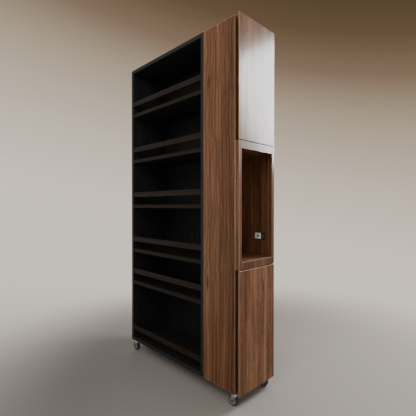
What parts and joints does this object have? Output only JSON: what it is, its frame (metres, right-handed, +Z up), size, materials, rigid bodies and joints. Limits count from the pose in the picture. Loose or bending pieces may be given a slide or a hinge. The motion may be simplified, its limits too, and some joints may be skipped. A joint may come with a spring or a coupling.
{
  "type": "rolling pantry cart",
  "caption": "Tall narrow pantry tower on swivel castors: open black shelves with guard rails on one flank, walnut doors and a framed niche on the front end.",
  "frame": {"origin": "on the floor under the middle of the whole cart", "axes": "+Z up; -Y out of the doors and the niche; -X out of the open shelves; length along Y"},
  "size_m": [0.335, 1.095, 2.188],
  "materials": {
    "walnut_side": "satin walnut veneer, vertical straight grain",
    "walnut_inside": "satin walnut veneer",
    "walnut_door": "semi-gloss walnut veneer, vertical straight grain",
    "walnut_frame": "semi-gloss solid walnut",
    "black_board": "matt black laminated board",
    "guard_rail": "matt dark stained board",
    "grip_profile": "black anodised",
    "black_plastic": "matt moulded",
    "white_plastic": "satin moulded",
    "steel": "nickel plated",
    "screw_zinc": "black zinc",
    "castor_zinc": "bright zinc plated pressing",
    "fork_zinc": "bright zinc plated pressing",
    "axle_black": "dark zinc plated bolt",
    "wheel_grey": "grey moulded nylon",
    "tyre_black": "soft black tread"
  },
  "bodies": {
    "cabinet": {"column_left_panel": "walnut_side", "column_right_panel": "walnut_side", "column_bottom_board": "walnut_inside", "column_top_board": "walnut_inside", "niche_bottom_board": "walnut_inside", "niche_top_board": "walnut_inside", "niche_back_panel": "walnut_inside", "upper_cupboard_shelf": "walnut_inside", "lower_cupboard_shelf": "walnut_inside", "niche_frame": "walnut_frame", "rear_end_panel": "black_board", "divider_panel": "black_board", "shelf_unit_back": "black_board", "shelf_unit_top": "black_board", "shelf_unit_base": "black_board", "shelf_1": "black_board", "shelf_2": "black_board", "shelf_3": "black_board", "shelf_4": "black_board", "shelf_5": "black_board", "guard_rail_1": "guard_rail", "guard_rail_2": "guard_rail", "guard_rail_3": "guard_rail", "guard_rail_4": "guard_rail", "guard_rail_5": "guard_rail", "guard_rail_6": "guard_rail", "upper_grip_profile": "grip_profile", "lower_grip_profile": "grip_profile", "magnet_catches": "black_plastic", "outlet_frame": "black_plastic", "outlet_charging_module": "black_plastic", "outlet_socket": "white_plastic", "carcass_hinge_leaves": "steel", "carcass_hinge_screws": "steel", "hinge_pins": "steel", "shelf_support_pins": "steel", "castor_screws": "steel", "shelf_unit_screws": "screw_zinc", "castor_plates": "castor_zinc", "castor_kingpins": "castor_zinc"},
    "upper_door": {"upper_door_panel": "walnut_door", "upper_door_fittings": "steel"},
    "lower_door": {"lower_door_panel": "walnut_door", "lower_door_fittings": "steel"},
    "front_left_swivel": {"front_left_fork": "fork_zinc", "front_left_axle": "axle_black"},
    "front_left_roller": {"front_left_wheel": "wheel_grey", "front_left_tyre": "tyre_black"},
    "front_right_swivel": {"front_right_fork": "fork_zinc", "front_right_axle": "axle_black"},
    "front_right_roller": {"front_right_wheel": "wheel_grey", "front_right_tyre": "tyre_black"},
    "rear_left_swivel": {"rear_left_fork": "fork_zinc", "rear_left_axle": "axle_black"},
    "rear_left_roller": {"rear_left_wheel": "wheel_grey", "rear_left_tyre": "tyre_black"},
    "rear_right_swivel": {"rear_right_fork": "fork_zinc", "rear_right_axle": "axle_black"},
    "rear_right_roller": {"rear_right_wheel": "wheel_grey", "rear_right_tyre": "tyre_black"}
  },
  "joints": [
    {"name": "upper_door_hinge", "type": "hinge", "parent": "cabinet", "child": "upper_door", "pos_m": [0.164, -0.5235, 1.8405], "axis": [0, 0, 1], "range_deg": [0, 100]},
    {"name": "lower_door_hinge", "type": "hinge", "parent": "cabinet", "child": "lower_door", "pos_m": [0.164, -0.5235, 0.4195], "axis": [0, 0, 1], "range_deg": [0, 100]},
    {"name": "front_left_swivel_turn", "type": "hinge", "parent": "cabinet", "child": "front_left_swivel", "pos_m": [-0.1425, -0.5015, 0.068], "axis": [0, 0, 1], "continuous": true},
    {"name": "front_left_wheel_spin", "type": "hinge", "parent": "front_left_swivel", "child": "front_left_roller", "pos_m": [-0.1425, -0.4875, 0.03], "axis": [1, 0, 0], "continuous": true},
    {"name": "front_right_swivel_turn", "type": "hinge", "parent": "cabinet", "child": "front_right_swivel", "pos_m": [0.1425, -0.5015, 0.068], "axis": [0, 0, 1], "continuous": true},
    {"name": "front_right_wheel_spin", "type": "hinge", "parent": "front_right_swivel", "child": "front_right_roller", "pos_m": [0.1425, -0.4875, 0.03], "axis": [1, 0, 0], "continuous": true},
    {"name": "rear_left_swivel_turn", "type": "hinge", "parent": "cabinet", "child": "rear_left_swivel", "pos_m": [-0.1425, 0.5035, 0.068], "axis": [0, 0, 1], "continuous": true},
    {"name": "rear_left_wheel_spin", "type": "hinge", "parent": "rear_left_swivel", "child": "rear_left_roller", "pos_m": [-0.1425, 0.5175, 0.03], "axis": [1, 0, 0], "continuous": true},
    {"name": "rear_right_swivel_turn", "type": "hinge", "parent": "cabinet", "child": "rear_right_swivel", "pos_m": [0.1425, 0.5035, 0.068], "axis": [0, 0, 1], "continuous": true},
    {"name": "rear_right_wheel_spin", "type": "hinge", "parent": "rear_right_swivel", "child": "rear_right_roller", "pos_m": [0.1425, 0.5175, 0.03], "axis": [1, 0, 0], "continuous": true}
  ]
}
